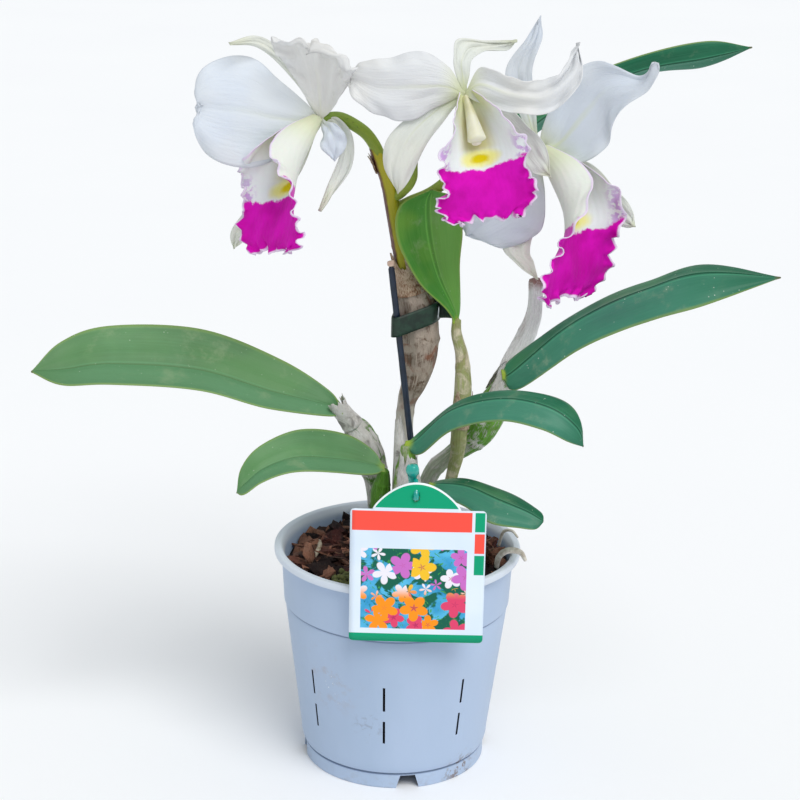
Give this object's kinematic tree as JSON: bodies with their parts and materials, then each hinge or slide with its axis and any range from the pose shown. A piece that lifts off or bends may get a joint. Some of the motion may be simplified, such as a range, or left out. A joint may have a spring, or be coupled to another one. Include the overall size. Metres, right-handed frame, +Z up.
{
  "type": "potted orchid",
  "caption": "White orchid with magenta lips, waxy leaves and pseudobulbs, growing in bark in a slotted plastic pot, with a tied stake and a hang label.",
  "frame": {"origin": "on the table under the pot's axis; the leaf tips are even on both sides of it", "axes": "+Z up along the pot's axis, -Y towards the label at the front, +X to the right seen from the front"},
  "size_m": [0.3604, 0.1302, 0.3794],
  "materials": {
    "pot_plastic": "satin grey-blue",
    "bark": "rough",
    "leaf": "waxy",
    "bulb": "satin",
    "dry_sheath": "dry papery",
    "spike_green": "satin",
    "petal": "soft waxy white",
    "lip": "soft magenta",
    "column": "waxy",
    "root": "velvety",
    "stake_plastic": "gloss",
    "tie_plastic": "satin",
    "label_card": "coated",
    "peg_plastic": "gloss"
  },
  "bodies": {
    "root": {"bark_chip_1": "bark", "bark_chip_2": "bark", "bark_chip_3": "bark", "bark_chip_4": "bark", "bark_chip_5": "bark", "bark_chip_6": "bark", "bark_mix": "bark", "bulb_front_short": "bulb", "bulb_left_long": "bulb", "bulb_left_low": "bulb", "bulb_right_old": "bulb", "bulb_slender": "bulb", "bulb_small": "bulb", "bulb_tied": "dry_sheath", "dry_stem_right": "dry_sheath", "flower_1_column": "column", "flower_1_lip": "lip", "flower_1_petal_left": "petal", "flower_1_petal_upper": "petal", "flower_1_sepal_left": "petal", "flower_1_sepal_right": "petal", "flower_1_sepal_top": "petal", "flower_2_column": "column", "flower_2_lip": "lip", "flower_2_petal_left": "petal", "flower_2_petal_right": "petal", "flower_2_sepal_left": "petal", "flower_2_sepal_right": "petal", "flower_2_sepal_top": "petal", "flower_3_column": "column", "flower_3_lip": "lip", "flower_3_petal_low": "petal", "flower_3_petal_right": "petal", "flower_3_sepal_down": "petal", "flower_3_sepal_right": "petal", "flower_3_sepal_top": "petal", "flower_spike": "spike_green", "label_card": "label_card", "label_peg": "peg_plastic", "leaf_arched": "leaf", "leaf_back": "leaf", "leaf_left_long": "leaf", "leaf_left_low": "leaf", "leaf_right": "leaf", "leaf_small": "leaf", "leaf_upright": "leaf", "pedicel_1": "spike_green", "pedicel_2": "spike_green", "pedicel_3": "spike_green", "pot": "pot_plastic", "rhizome": "dry_sheath", "root_curled": "root", "root_over_rim": "root", "stake": "stake_plastic", "tie_band": "tie_plastic", "tie_tail": "tie_plastic"}
  },
  "joints": []
}
